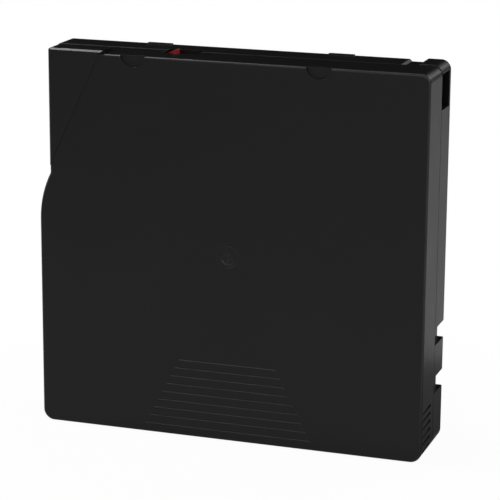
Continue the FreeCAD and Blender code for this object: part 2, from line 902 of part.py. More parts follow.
def make_reel_flange():
    """The near flange, welded on the end of the hub."""
    body = new_body("reel_flange")
    axis = [(ZERO, ZERO)]
    add_pillars(body, "disc", axis, S["flange_radius"], reel_near, flange_near)
    cut_rounds(body, "eye", axis, S["hub_radius"] - S["hub_wall"], reel_near, flange_near)
    dress(body, "Chamfer", "rim", S["flange_thick"] * RIM_CHAMFER, lies_at(reel_near))
    return settle_on_reel(body, "reel_flange")


def make_drive_plate():
    """The steel ring that the drive's magnet pulls."""
    body = new_body("drive_plate")
    axis = [(ZERO, ZERO)]
    end = plate_near + S["plate_thick"]
    add_pillars(body, "disc", axis, S["plate_radius"], plate_near, end)
    cut_rounds(body, "eye", axis, S["plate_hole"], plate_near, end)
    dress(body, "Chamfer", "rim", S["plate_thick"] * RIM_CHAMFER, lies_at(end))
    return settle_on_reel(body, "drive_plate")


def make_tape_pack():
    """The wound tape."""
    body = new_body("tape_pack")
    axis = [(ZERO, ZERO)]
    start = middle - S["tape_width"] / 2
    end = middle + S["tape_width"] / 2
    add_pillars(body, "roll", axis, S["pack_radius"], start, end)
    cut_rounds(body, "core", axis, S["hub_radius"] + S["fit"] / 2, start, end)
    return settle_on_reel(body, "tape_pack")


def make_brake_button():
    """The toothed disc that locks the reel, sliding on the near half's post."""
    body = new_body("brake_button")
    axis = [(ZERO, ZERO)]
    tip = brake_root + S["brake_tooth"]
    add_pillars(body, "disc", axis, S["brake_outer"], brake_near, brake_root)
    add_pillars(body, "collar", axis, S["collar_radius"], brake_near - S["collar_length"], brake_near)
    socket_start = brake_near - S["collar_length"]
    bore = S["post_radius"] + S["post_play"]
    cut_rounds(body, "post_socket", axis, bore, socket_start, brake_near)
    wide = S["post_rib"] + S["post_play"]
    tall = S["seat_wall"] + S["post_play"]
    for name, across, along in (("socket_cross", wide, tall), ("socket_upright", tall, wide)):
        cut_blocks(body, name, [(ZERO - across, across, ZERO - along, along)], socket_start, brake_near)
    sketch = radial_sketch(body, "tooth", S["brake_inner"] + S["fit"])
    root_half, tip_half = brake_gap_halves()
    play = S["tooth_play"]
    draw_loop(sketch, [
        (brake_root, ZERO - tip_half + play),
        (tip, ZERO - root_half + play),
        (tip, root_half - play),
        (brake_root, tip_half - play),
    ])
    tooth = pad(body, sketch, thickness(S["brake_inner"], S["brake_outer"]) - S["fit"] * 2)
    tooth.Reversed = False
    spin_pattern(body, "teeth", tooth, BRAKE_TEETH)
    return settle_on_reel(body, "brake_button")


def make_release_pad():
    """The three-legged pad that lifts the brake when the drive presses it."""
    body = new_body("release_pad")
    axis = [(ZERO, ZERO)]
    pad_near = web_far + S["brake_travel"] + S["fit"]
    pad_far = pad_near + S["pad_thick"]
    add_pillars(body, "disc", axis, S["pad_radius"], pad_near, pad_far)
    add_pillars(body, "button", axis, S["button_radius"], pad_far, pad_far + S["button_rise"])
    add_pillars(body, "legs", leg_places(), S["leg_radius"], brake_root + S["fit"], pad_near)
    return settle_on_reel(body, "release_pad")


def draw_wire(sketch, x, level, radius):
    """Draw the wire's section as a hexagon, so that the coil stays light."""
    side = radius * (math.sqrt(3) / 2)
    draw_loop(sketch, [
        (x + radius, level),
        (x + radius / 2, level + side),
        (x - radius / 2, level + side),
        (x - radius, level),
        (x - radius / 2, level - side),
        (x + radius / 2, level - side),
    ])


def coil(body, axis_role, sketch, run, turns):
    """Sweep the wire's section along a helix round one of the body's axes."""
    feature = body.newObject("PartDesign::AdditiveHelix", sketch.Name + "_coil")
    feature.Profile = sketch
    feature.ReferenceAxis = (plane_of(body, axis_role), [""])
    feature.Mode = "height-turns-angle"
    bind(feature, "Height", run)
    bind(feature, "Turns", turns)
    doc.recompute()
    return feature


def make_brake_spring():
    """The coil spring between the near half and the brake."""
    body = new_body("brake_spring")
    sketch = body.newObject("Sketcher::SketchObject", "brake_wire")
    sketch.AttachmentSupport = (plane_of(body, "XY_Plane"), [""])
    sketch.MapMode = "FlatFace"
    start = near_floor + S["brake_wire"] / 2 + S["fit"]
    draw_wire(sketch, S["brake_coil"], start, S["brake_wire"] / 2)
    run = thickness(near_floor, brake_near) - S["brake_wire"] - S["fit"] * 2
    coil(body, "Y_Axis", sketch, run, S["brake_turns"])
    return settle_on_reel(body, "brake_spring")


def make_door_spring():
    """The coil spring that keeps the door shut, drawn round its own axis."""
    body = new_body("door_spring")
    sketch = new_sketch(body, "door_wire", ZERO)
    start = S["spring_seat"] + S["door_wire"] / 2 + S["fit"]
    draw_wire(sketch, S["door_coil"], start, S["door_wire"] / 2)
    run = door_bottom - S["spring_seat"] - S["door_wire"] - S["fit"] * 2
    coil(body, "Z_Axis", sketch, run, S["door_turns"])
    body.Label = "door_spring"
    body.setExpression("Placement.Base.x", f"{spring_x.text} - {width.text} / 2")
    body.setExpression("Placement.Base.y", f"{middle.text} - {depth.text} / 2")
    doc.recompute()
    return body


def make_leader_pin():
    """The steel pin at the end of the tape, with a collar at each end."""
    body = new_body("leader_pin")
    place = [(pin_x, pin_z)]
    add_pillars(body, "shaft", place, S["pin_radius"], pin_near, pin_far)
    add_pillars(body, "near_collar", place, S["pin_end"], pin_near, pin_near + S["pin_collar"])
    add_pillars(body, "far_collar", place, S["pin_end"], pin_far - S["pin_collar"], pin_far)
    return settle(body, "leader_pin")


def make_pin_clip():
    """The split sleeve that grips the tape on the pin."""
    body = new_body("pin_clip")
    start = middle - S["clip_length"] / 2
    end = middle + S["clip_length"] / 2
    outer = S["pin_radius"] + S["clip_wall"]
    add_pillars(body, "sleeve", [(pin_x, pin_z)], outer, start, end)
    cut_rounds(body, "bore", [(pin_x, pin_z)], S["pin_radius"] + S["fit"] / 2, start, end)
    half_slot = S["tape_skin"] * 2
    cut_blocks(body, "split", [(pin_x, pin_x + outer + S["fit"], pin_z - half_slot, pin_z + half_slot)],
               start, end)
    return settle(body, "pin_clip")


def make_pin_spring(label, start):
    """One of the two leaf springs that hold the pin in its seats."""
    body = new_body(label)
    left = pin_x - S["pin_end"] - S["seat_gap"] - S["leaf_thick"] + S["fit"] / 2
    right = left + S["leaf_thick"] - S["fit"]
    add_blocks(body, label + "_leaf", [(left, right, pin_z - S["pin_radius"], pin_z + S["leaf_run"])],
               start, start + S["leaf_wide"])
    return settle(body, label)


def make_tape_leader():
    """The run of tape from the pin to the top of the pack, tangent to it."""
    across = reel_x - pin_x
    down = reel_z - pin_z
    reach = S["pack_radius"] + S["fit"]
    apart = root(across * across + down * down)
    start = S["pin_radius"] + S["fit"]
    tape = doc.addObject("Part::Box", "tape_leader")
    bind(tape, "Length", root(apart * apart - reach * reach) - start)
    bind(tape, "Width", S["tape_width"])
    bind(tape, "Height", S["tape_skin"])
    rise = f"(atan2({down.text}; {across.text}) + asin({reach.text} / {apart.text}))"
    tape.Placement.Rotation = FreeCAD.Rotation(FreeCAD.Vector(0, -1, 0), 1)
    tape.setExpression("Placement.Rotation.Angle", rise)
    tape.setExpression("Placement.Base.x", f"{pin_x.text} - {width.text} / 2 + {start.text} * cos({rise})")
    tape.setExpression("Placement.Base.y", f"{middle.text} - {S['tape_width'].text} / 2 - {depth.text} / 2")
    tape.setExpression("Placement.Base.z", f"{pin_z.text} + {start.text} * sin({rise})")
    tape.Label = "tape_leader"
    doc.recompute()
    return tape


def make_door():
    """The sliding door in the left side, with its finger lines and the foot its spring pushes."""
    body = new_body("door")
    start = near_floor + S["slide_gap"]
    end = far_floor - S["slide_gap"]
    add_blocks(body, "leaf", [(door_x, door_inner, door_bottom, door_top)], start, end)
    grooves = []
    for line in range(DOOR_GROOVES):
        high = S["door_high"] - S["grip_line"] * (2 * line + 1)
        grooves.append((door_x, door_x + S["door_thick"] / 3, high - S["grip_line"], high))
    half = S["foot_wide"]
    cut_blocks(body, "finger_lines", grooves, middle - half, middle + half)
    foot_right = spring_x + S["door_coil"]
    add_blocks(body, "foot", [(door_x, foot_right, door_bottom, door_bottom + S["door_foot"])],
               middle - half / 2, middle + half / 2)
    return settle(body, "door")


def plan_sketch(body, name, level):
    """A sketch seen from above, at a height."""
    sketch = body.newObject("Sketcher::SketchObject", name)
    sketch.AttachmentSupport = (plane_of(body, "XY_Plane"), [""])
    sketch.MapMode = "FlatFace"
    sketch.setExpression("AttachmentOffset.Base.z", Size.of(level).text)
    return sketch


def make_switch():
    """The red write-protect switch: a slide with a well in it, and an arrow to push it by."""
    body = new_body("write_protect_switch")
    half = S["window_half"] + S["switch_lap"]
    add_blocks(body, "slide", [(switch_x, window_right + S["switch_lap"], switch_bottom, switch_top)],
               middle - half, middle + half)
    tip = S["window_left"] + S["arrow_start"]
    base = tip + S["arrow_run"]
    arrow_middle = middle - S["arrow_side"]
    arrow_top = top + S["arrow_rise"]
    arrow = plan_sketch(body, "arrow", switch_top)
    draw_loop(arrow, [
        (tip, arrow_middle),
        (base, arrow_middle - S["arrow_half"]),
        (base, arrow_middle + S["arrow_half"]),
    ])
    lug = body.newObject("PartDesign::Pad", "arrow_pad")
    lug.Profile = arrow
    bind(lug, "Length", thickness(switch_top, arrow_top))
    slope = new_sketch(body, "arrow_slope", arrow_middle - S["arrow_half"])
    draw_loop(slope, [
        (tip - S["fit"], top - S["arrow_dip"]),
        (base, arrow_top),
        (base, arrow_top + S["fit"]),
        (tip - S["fit"], arrow_top + S["fit"]),
    ])
    pocket(body, slope, S["arrow_half"] * 2)
    well = base + S["well_start"]
    cut_blocks(body, "well", [(well, well + S["well_run"], switch_top - S["well_cut"], switch_top)],
               middle - S["window_half"], middle + S["window_half"])
    return settle(body, "write_protect_switch")


def make_memory_chip():
    """The contactless memory chip, standing across a corner of the case."""
    body = new_body("memory_chip")
    sketch = new_sketch(body, "card", far_floor - S["chip_wide"])
    draw_loop(sketch, chip_corners())
    pad(body, sketch, S["chip_wide"])
    return settle(body, "memory_chip")


def make_screws():
    """The four case screws, each with a cross recess."""
    body = new_body("case_screws")
    head = depth - S["sink_cut"]
    head_far = head + S["head_thick"]
    add_pillars(body, "shanks", SCREWS, S["screw_shank"] - S["fit"] / 2, S["screw_start"] + S["fit"], head)
    add_pillars(body, "heads", SCREWS, S["screw_head"], head, head_far)
    slot_half = S["head_thick"] * SCREW_CROSS_WIDE / 2
    slot_run = S["screw_head"] * SCREW_CROSS_LONG
    for name, wide, tall in (("cross", slot_run, slot_half), ("upright", slot_half, slot_run)):
        cut_blocks(body, name, [(x - wide, x + wide, z - tall, z + tall) for x, z in SCREWS],
                   head_far - S["head_thick"] / 2, head_far)
    return settle(body, "case_screws")


def finish_and_export(parts):
    """Check every object of the document, then write one STEP file for each sub-part."""
    doc.recompute()
    for item in doc.Objects:
        if {"Invalid", "Error"} & set(item.State):
            raise RuntimeError(f"{item.Label} is {item.State}")
    os.makedirs("parts", exist_ok=True)
    for item in parts:
        shape = item.Shape
        if shape.isNull() or not shape.isValid() or not shape.Solids:
            raise RuntimeError(item.Label + " has no valid solid")
        shape.exportStep(f"parts/{item.Label}.step")


finish_and_export([
    make_near_shell(),
    make_far_shell(),
    make_reel_hub(),
    make_reel_flange(),
    make_drive_plate(),
    make_tape_pack(),
    make_tape_leader(),
    make_brake_button(),
    make_release_pad(),
    make_brake_spring(),
    make_leader_pin(),
    make_pin_clip(),
    make_pin_spring("near_pin_spring", pin_near - S["seat_rise"] + S["fit"]),
    make_pin_spring("far_pin_spring", pin_far + S["seat_rise"] - S["fit"] - S["leaf_wide"]),
    make_door(),
    make_door_spring(),
    make_switch(),
    make_memory_chip(),
    make_screws(),
])
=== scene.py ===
"""Looks of a single-reel data tape cartridge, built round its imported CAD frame.

The two case halves, the write-protect switch, the sliding door, the leader pin, the brake and the
reel keep their CAD shapes and get their finishes here. The two coil springs, the run of tape
behind the pin and the torn spot over the gate's dimple are built here in full detail.
"""

import json
import logging
import math
from dataclasses import dataclass, field
from enum import Enum

import bmesh
import bpy
from bpy.types import Material, Mesh, Node, NodeSocket, Object, ShaderNodeTree
from mathutils import Matrix, Vector, noise

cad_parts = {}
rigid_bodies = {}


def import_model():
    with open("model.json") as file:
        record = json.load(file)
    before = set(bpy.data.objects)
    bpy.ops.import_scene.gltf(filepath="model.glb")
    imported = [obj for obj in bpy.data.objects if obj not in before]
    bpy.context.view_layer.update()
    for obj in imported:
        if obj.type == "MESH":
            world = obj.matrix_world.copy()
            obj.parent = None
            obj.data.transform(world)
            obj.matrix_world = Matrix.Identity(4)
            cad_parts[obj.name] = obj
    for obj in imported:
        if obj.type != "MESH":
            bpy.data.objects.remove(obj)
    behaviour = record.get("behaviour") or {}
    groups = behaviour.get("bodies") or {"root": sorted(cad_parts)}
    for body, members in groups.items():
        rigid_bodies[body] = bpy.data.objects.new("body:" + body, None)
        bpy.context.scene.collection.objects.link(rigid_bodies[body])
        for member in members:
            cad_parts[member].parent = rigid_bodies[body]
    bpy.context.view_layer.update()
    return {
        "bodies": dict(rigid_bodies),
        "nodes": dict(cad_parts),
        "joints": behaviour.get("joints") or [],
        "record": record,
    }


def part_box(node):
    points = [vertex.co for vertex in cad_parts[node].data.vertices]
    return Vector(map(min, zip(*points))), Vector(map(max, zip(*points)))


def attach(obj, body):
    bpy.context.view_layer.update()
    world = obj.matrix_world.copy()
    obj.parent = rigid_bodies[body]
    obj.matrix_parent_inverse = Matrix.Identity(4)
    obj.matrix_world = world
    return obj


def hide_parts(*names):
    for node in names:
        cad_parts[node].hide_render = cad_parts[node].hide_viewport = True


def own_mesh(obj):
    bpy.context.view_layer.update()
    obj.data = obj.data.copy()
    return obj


LOG = logging.getLogger("cartridge")
MILLIMETRE = 0.001
CASE_BODY = "case"
BAND_SPACING = math.pi / 10.0
"""How far apart the wave texture's bands are at a scale of one."""
Colour = tuple[float, float, float]
Point = tuple[float, float, float]
Range = tuple[float, float]


class Joint(Enum):
    """The joints that would squash a spring; the script doesn't use them."""

    DOOR = "door_slide"
    BRAKE = "brake_lift"


class Axis(Enum):
    """The direction that a pattern runs along or turns round."""

    X = (1.0, 0.0, 0.0)
    Y = (0.0, 1.0, 0.0)
    Z = (0.0, 0.0, 1.0)


class Combine(Enum):
    """How two values become one."""

    MINUS = "SUBTRACT"
    TIMES = "MULTIPLY"


def millimetres(*values: float) -> Vector:
    """Turn sizes in millimetres into a vector in metres.

    Args:
        values: three sizes in millimetres.

    Returns:
        The same sizes in metres.
    """
    return Vector(values) * MILLIMETRE


def axis_of(node: str, along: Axis) -> Vector:
    """Where the axis of a round CAD node passes.

    Args:
        node: the node's name.
        along: the direction of its axis.

    Returns:
        The middle of its box in metres, with nought along the axis.
    """
    low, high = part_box(node)
    middle = (low + high) / 2.0
    forward = Vector(along.value)
    return middle - middle.dot(forward) * forward


class Graph:
    """A material's node tree, with short calls for adding and joining nodes."""

    def __init__(self, name: str) -> None:
        """Start an empty material with one surface shader.

        Args:
            name: the material's name.
        """
        self.material: Material = bpy.data.materials.new(name)
        self.material.use_nodes = True
        self.tree: ShaderNodeTree = self.material.node_tree
        self.tree.nodes.clear()
        self.shader = self.add("ShaderNodeBsdfPrincipled")
        self.output = self.add("ShaderNodeOutputMaterial")
        self.join(self.shader.outputs["BSDF"], self.output.inputs["Surface"])

    def add(self, kind: str, **settings: object) -> Node:
        """Add a node and set its properties.

        Args:
            kind: the node's type name.
            settings: properties of the node by name.

        Returns:
            The new node.
        """
        node = self.tree.nodes.new(kind)
        for name, value in settings.items():
            setattr(node, name, value)
        return node

    def join(self, source: NodeSocket, target: NodeSocket) -> None:
        """Link one socket to another."""
        self.tree.links.new(source, target)

    def place(self, stretch: Point = (1.0, 1.0, 1.0), turn: Point = (0.0, 0.0, 0.0)) -> NodeSocket:
        """Coordinates in metres on the piece, stretched and turned.

        Args:
            stretch: scale along each axis.
            turn: rotation round each axis in degrees.

        Returns:
            The socket with the coordinates.
        """
        coordinates = self.add("ShaderNodeTexCoord")
        mapping = self.add("ShaderNodeMapping")
        mapping.inputs["Scale"].default_value = stretch
        mapping.inputs["Rotation"].default_value = [math.radians(angle) for angle in turn]
        self.join(coordinates.outputs["Object"], mapping.inputs["Vector"])
        return mapping.outputs["Vector"]

    def clouds(self, size: float, detail: float = 2.0, roughness: float = 0.5,
              where: NodeSocket | None = None) -> NodeSocket:
        """A cloudy pattern.

        Args:
            size: the size of its clouds in metres.
            detail: how many finer layers it has.
            roughness: how strong the finer layers are.
            where: the coordinates, or None for plain ones.

        Returns:
            The socket with the pattern's height from 0 to 1.
        """
        node = self.add("ShaderNodeTexNoise")
        node.inputs["Scale"].default_value = 1.0 / size
        node.inputs["Detail"].default_value = detail
        node.inputs["Roughness"].default_value = roughness
        self.join(where or self.place(), node.inputs["Vector"])
        return node.outputs["Fac"]

    def spread(self, value: NodeSocket, low: float, high: float, start: float = 0.0,
               end: float = 1.0) -> NodeSocket:
        """Map a pattern's range to another range, and clamp it.

        Args:
            value: the pattern.
            low: what the start of its range becomes.
            high: what the end of its range becomes.
            start: the start of its range.
            end: the end of its range.

        Returns:
            The socket with the mapped value.
        """
        node = self.add("ShaderNodeMapRange")
        for name, number in (("From Min", start), ("From Max", end), ("To Min", low), ("To Max", high)):
            node.inputs[name].default_value = number
        self.join(value, node.inputs["Value"])
        return node.outputs["Result"]

    def blend(self, amount: NodeSocket, first: Colour | NodeSocket,
              second: Colour | NodeSocket) -> NodeSocket:
        """Mix two colours by a pattern.

        Args:
            amount: the pattern, 0 for the first colour and 1 for the second.
            first: the first colour.
            second: the second colour.

        Returns:
            The socket with the mixed colour.
        """
        node = self.add("ShaderNodeMix", data_type="RGBA")
        self.join(amount, node.inputs[0])
        for socket, colour in ((node.inputs[6], first), (node.inputs[7], second)):
            if isinstance(colour, tuple):
                socket.default_value = (*colour, 1.0)
            else:
                self.join(colour, socket)
        return node.outputs[2]

    def combine(self, first: NodeSocket, second: NodeSocket, how: Combine) -> NodeSocket:
        """Make one value of two.

        Args:
            first: the first value.
            second: the second value.
            how: what is done with them.

        Returns:
            The socket with the result.
        """
        node = self.add("ShaderNodeMath", operation=how.value)
        self.join(first, node.inputs[0])
        self.join(second, node.inputs[1])
        return node.outputs[0]

    def along(self, vector: NodeSocket, axis: Axis) -> NodeSocket:
        """How far a vector reaches along an axis.

        Args:
            vector: the vector's socket.
            axis: the axis.

        Returns:
            The socket with the reach.
        """
        node = self.add("ShaderNodeVectorMath", operation="DOT_PRODUCT")
        self.join(vector, node.inputs[0])
        node.inputs[1].default_value = axis.value
        return node.outputs["Value"]

    def emboss(self, height: NodeSocket, depth: float, under: NodeSocket | None = None) -> NodeSocket:
        """Raise a pattern out of the surface.

        Args:
            height: the pattern, from 0 to 1.
            depth: its height in metres.
            under: a normal to add it to.

        Returns:
            The socket with the new normal.
        """
        node = self.add("ShaderNodeBump")
        node.inputs["Distance"].default_value = depth
        self.join(height, node.inputs["Height"])
        if under is not None:
            self.join(under, node.inputs["Normal"])
        return node.outputs["Normal"]

    def set(self, name: str, value: float | Colour | NodeSocket) -> None:
        """Give one of the surface shader's inputs a number, a colour or a pattern.

        Args:
            name: the input's name.
            value: what it gets.
        """
        socket = self.shader.inputs[name]
        if isinstance(value, tuple):
            socket.default_value = (*value, 1.0)
        elif isinstance(value, float):
            socket.default_value = value
        else:
            self.join(value, socket)


def dulled(colour: Colour, left: float) -> Colour:
    """A colour with only a share of it left."""
    return tuple(channel * left for channel in colour)


@dataclass(frozen=True)
class MouldedPlastic:
    """Injection-moulded plastic with the fine texture of its mould.

    Attributes:
        name: the material's name.
        colour: the plastic's colour.
        rubbed: the colour that handling has rubbed it to.
        roughness: lowest and highest roughness over the surface.
        grain: the size of the mould texture in metres.
        relief: the depth of the mould texture in metres.
        edge: the radius that the mould gives sharp edges, in metres.
        specular: how strongly the surface reflects head on.
        rim_highlight: the lighter colour painted on the rounded rims of the two big faces as a highlight, or
            None for none.
        patch: the size of the patches that handling has rubbed, in metres.
        rubbing: the levels of the patches' pattern where rubbing starts and is complete.
        scuff: the size of the fine scuffs in metres.
        scuff_stretch: the scuffs' scale along each axis.
        scuff_turn: their turn round each axis in degrees.
        scuffing: the levels of the scuffs' pattern where polish starts and is complete.
        polish: how much less rough a scuff is.
        rim_depth: how far from the middle plane a rim starts to get the painted highlight and gets it in
            full, in metres.
        rim_turn: how far a rim's surface turns away, as a squared measure from 0 to a quarter.
        highlight_patch: the size of the patches that break up the painted rim highlight, in metres.
        highlight_least: the share of the painted highlight that is left between patches.
        highlight_spread: the levels of the patches' pattern where a patch starts and is complete.
    """

    name: str
    colour: Colour
    rubbed: Colour
    roughness: Range
    grain: float = 0.00022
    relief: float = 0.000006
    edge: float = 0.00012
    specular: float = 0.5
    rim_highlight: Colour | None = None
    patch: float = 0.03
    rubbing: Range = (0.42, 0.72)
    scuff: float = 0.0016
    scuff_stretch: Point = (1.0, 1.0, 0.12)
    scuff_turn: Point = (0.0, 24.0, 0.0)
    scuffing: Range = (0.63, 0.72)
    polish: float = 0.05
    rim_depth: Range = (0.0075, 0.009)
    rim_turn: Range = (0.05, 0.2)
    highlight_patch: float = 0.006
    highlight_least: float = 0.6
    highlight_spread: Range = (0.35, 0.6)

    def make(self) -> Material:
        """Build the material.

        Returns:
            The new material.
        """
        graph = Graph(self.name)
        patches = graph.clouds(self.patch, detail=4.0, roughness=0.6)
        handled = graph.spread(patches, 0.0, 1.0, *self.rubbing)
        tint = graph.blend(handled, self.colour, self.rubbed)
        # Painted highlight: the rounded rims of the big faces are mixed towards a lighter colour, in patches,
        # to stand in for the lamps' gleam on them.
        if self.rim_highlight is not None:
            tint = graph.blend(self.painted_rim_highlight(graph), tint, self.rim_highlight)
        graph.set("Base Color", tint)
        where = graph.place(self.scuff_stretch, self.scuff_turn)
        scuffs = graph.spread(graph.clouds(self.scuff, detail=3.0, where=where), 0.0, 1.0, *self.scuffing)
        smooth, dull = self.roughness
        blotches = graph.spread(patches, dull, smooth)
        polished = graph.spread(scuffs, 0.0, self.polish)
        graph.set("Roughness", graph.combine(blotches, polished, Combine.MINUS))
        graph.set("Specular IOR Level", self.specular)
        rounded = graph.add("ShaderNodeBevel", samples=4)
        rounded.inputs["Radius"].default_value = self.edge
        texture = graph.clouds(self.grain, roughness=0.55)
        graph.set("Normal", graph.emboss(texture, self.relief, rounded.outputs["Normal"]))
        return graph.material

    def painted_rim_highlight(self, graph: Graph) -> NodeSocket:
        """Where a painted highlight lightens the rounded rim of a big face, or a rib on it, broken into
        patches.

        Args:
            graph: the material's nodes.

        Returns:
            The socket with the painted highlight's strength, from 0 on flat places to 1 on a rim.
        """
        surface = graph.add("ShaderNodeNewGeometry")
        facing_out = graph.along(surface.outputs["Normal"], Axis.Y)
        squared = graph.combine(facing_out, facing_out, Combine.TIMES)
        turned = graph.combine(squared, graph.spread(squared, 1.0, 0.0), Combine.TIMES)
        deep = graph.along(graph.place(), Axis.Y)
        start, full = self.rim_depth
        nearness = graph.combine(deep, deep, Combine.TIMES)
        at_faces = graph.spread(nearness, 0.0, 1.0, start ** 2, full ** 2)
        rims = graph.combine(graph.spread(turned, 0.0, 1.0, *self.rim_turn), at_faces, Combine.TIMES)
        clouds = graph.clouds(self.highlight_patch, detail=3.0)
        patches = graph.spread(clouds, self.highlight_least, 1.0, *self.highlight_spread)
        return graph.combine(rims, patches, Combine.TIMES)


@dataclass(frozen=True)
class Steel:
    """Drawn, ground or turned steel with the lines of its tool.

    Attributes:
        name: the material's name.
        colour: the metal's colour.
        roughness: lowest and highest roughness.
        along: the direction that the tool's lines run in.
        line: the spacing of the lines in metres.
        relief: their depth in metres.
        stretch: the lines' scale along that direction.
        stain: the size of the stains in metres.
        staining: the levels of the stains' pattern where a stain starts and is complete.
        dulling: how much of the colour a stain leaves.
    """

    name: str
    colour: Colour
    roughness: Range
    along: Axis
    line: float = 0.00006
    relief: float = 0.000002
    stretch: float = 0.04
    stain: float = 0.004
    staining: Range = (0.4, 0.7)
    dulling: float = 0.82

    def make(self) -> Material:
        """Build the material.

        Returns:
            The new material.
        """
        graph = Graph(self.name)
        drawn = tuple(self.stretch if value else 1.0 for value in self.along.value)
        lines = graph.clouds(self.line, detail=1.0, where=graph.place(drawn))
        stains = graph.spread(graph.clouds(self.stain, detail=3.0), 0.0, 1.0, *self.staining)
        graph.set("Base Color", graph.blend(stains, self.colour, dulled(self.colour, self.dulling)))
        graph.set("Metallic", 1.0)
        graph.set("Roughness", graph.spread(lines, *self.roughness))
        graph.set("Normal", graph.emboss(lines, self.relief))
        return graph.material


@dataclass(frozen=True)
class TurnedSteel:
    """Steel faced on a lathe, with rings round the reel's axis.

    Attributes:
        name: the material's name.
        colour: the metal's colour.
        centre: where the axis passes, in metres.
        ring: the spacing of the rings in metres.
        relief: their depth in metres.
        roughness: lowest and highest roughness.
        stain: the size of the stains in metres.
        dulling: how much of the colour a stain leaves.
    """

    name: str
    colour: Colour
    centre: Vector
    ring: float = 0.00016
    relief: float = 0.000004
    roughness: Range = (0.24, 0.38)
    stain: float = 0.006
    dulling: float = 0.85

    def make(self) -> Material:
        """Build the material.

        Returns:
            The new material.
        """
        graph = Graph(self.name)
        rings = ring_pattern(graph, self.centre, self.ring)
        stains = graph.clouds(self.stain)
        graph.set("Base Color", graph.blend(stains, self.colour, dulled(self.colour, self.dulling)))
        graph.set("Metallic", 1.0)
        graph.set("Roughness", graph.spread(rings, *self.roughness))
        graph.set("Normal", graph.emboss(rings, self.relief))
        return graph.material


@dataclass(frozen=True)
class WoundTape:
    """Magnetic tape seen on the edges of its turns.

    Attributes:
        name: the material's name.
        film: the colour of the film's flat side.
        edge: the lighter colour of the cut edges.
        centre: where the reel's axis passes, in metres.
        turn: the spacing of the bands of turns in metres.
        roughness: lowest and highest roughness.
        relief: how far the turns stand out of line, in metres.
    """

    name: str
    film: Colour
    edge: Colour
    centre: Vector
    turn: float = 0.0004
    roughness: Range = (0.2, 0.4)
    relief: float = 0.00001

    def make(self) -> Material:
        """Build the material.

        Returns:
            The new material.
        """
        graph = Graph(self.name)
        rings = ring_pattern(graph, self.centre, self.turn)
        graph.set("Base Color", graph.blend(rings, self.film, self.edge))
        graph.set("Roughness", graph.spread(rings, *self.roughness))
        graph.set("Normal", graph.emboss(rings, self.relief))
        return graph.material


@dataclass(frozen=True)
class PrintedCard:
    """A green laminate card with the copper turns of an aerial under its varnish.

    Attributes:
        name: the material's name.
        board: the laminate's colour.
        track: the colour of the varnished copper.
        pitch: the spacing of the turns in metres.
        flank: the levels of the bands' pattern where a track's side starts and ends.
        relief: how far the tracks stand up, in metres.
        ripple: the size of the varnish's ripples in metres.
        roughness: the varnish's lowest and highest roughness.
    """

    name: str
    board: Colour
    track: Colour
    pitch: float = 0.00113
    flank: Range = (0.48, 0.56)
    relief: float = 0.00002
    ripple: float = 0.001
    roughness: Range = (0.25, 0.38)

    def make(self) -> Material:
        """Build the material.

        Returns:
            The new material.
        """
        graph = Graph(self.name)
        waves = graph.add("ShaderNodeTexWave", wave_type="BANDS", bands_direction="Y")
        waves.inputs["Scale"].default_value = BAND_SPACING / self.pitch
        graph.join(graph.place(), waves.inputs["Vector"])
        tracks = graph.spread(waves.outputs["Fac"], 0.0, 1.0, *self.flank)
        graph.set("Base Color", graph.blend(tracks, self.board, self.track))
        graph.set("Roughness", graph.spread(graph.clouds(self.ripple), *self.roughness))
        graph.set("Normal", graph.emboss(tracks, self.relief))
        return graph.material


def ring_pattern(graph: Graph, centre: Vector, spacing: float) -> NodeSocket:
    """Uneven rings round an axis that runs along Y.

    Args:
        graph: the material's nodes.
        centre: where the axis passes, in metres.
        spacing: the mean width of a ring in metres.

    Returns:
        The socket with the pattern from 0 to 1.
    """
    coordinates = graph.add("ShaderNodeTexCoord")
    moved = graph.add("ShaderNodeMapping")
    moved.inputs["Location"].default_value = (-centre.x, 0.0, -centre.z)
    moved.inputs["Scale"].default_value = (1.0, 0.0, 1.0)
    graph.join(coordinates.outputs["Object"], moved.inputs["Vector"])
    radius = graph.add("ShaderNodeVectorMath", operation="LENGTH")
    graph.join(moved.outputs["Vector"], radius.inputs[0])
    ring = graph.add("ShaderNodeCombineXYZ")
    graph.join(radius.outputs["Value"], ring.inputs["X"])
    return graph.clouds(spacing, detail=3.0, roughness=0.7, where=ring.outputs["Vector"])


def finish_nodes(frame: dict, material: Material, *names: str) -> None:
    """Give CAD nodes a finish.

    Args:
        frame: the loaded frame.
        material: the finish.
        names: the nodes' names.
    """
    for name in names:
        mesh: Mesh = frame["nodes"][name].data
        mesh.materials.clear()
        mesh.materials.append(material)
        LOG.info("finished %s in %s", name, material.name)


def add_piece(name: str, mesh: Mesh, material: Material, *stands_for: str) -> Object:
    """Put a mesh in the scene as a piece that rides on the case.

    Args:
        name: the piece's name.
        mesh: its mesh, in metres.
        material: its finish.
        stands_for: the CAD nodes that it is shown in place of.

    Returns:
        The new object.
    """
    mesh.materials.append(material)
    piece = bpy.data.objects.new(name, mesh)
    bpy.context.scene.collection.objects.link(piece)
    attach(piece, CASE_BODY)
    if stands_for:
        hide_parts(*stands_for)
    LOG.info("built %s with %d faces", name, len(mesh.polygons))
    return piece


def finished_mesh(name: str, work: bmesh.types.BMesh) -> Mesh:
    """Turn a mesh in the making into a mesh.

    Args:
        name: the mesh's name.
        work: the mesh in the making, which is freed.

    Returns:
        The new mesh.
    """
    mesh = bpy.data.meshes.new(name)
    work.to_mesh(mesh)
    work.free()
    return mesh


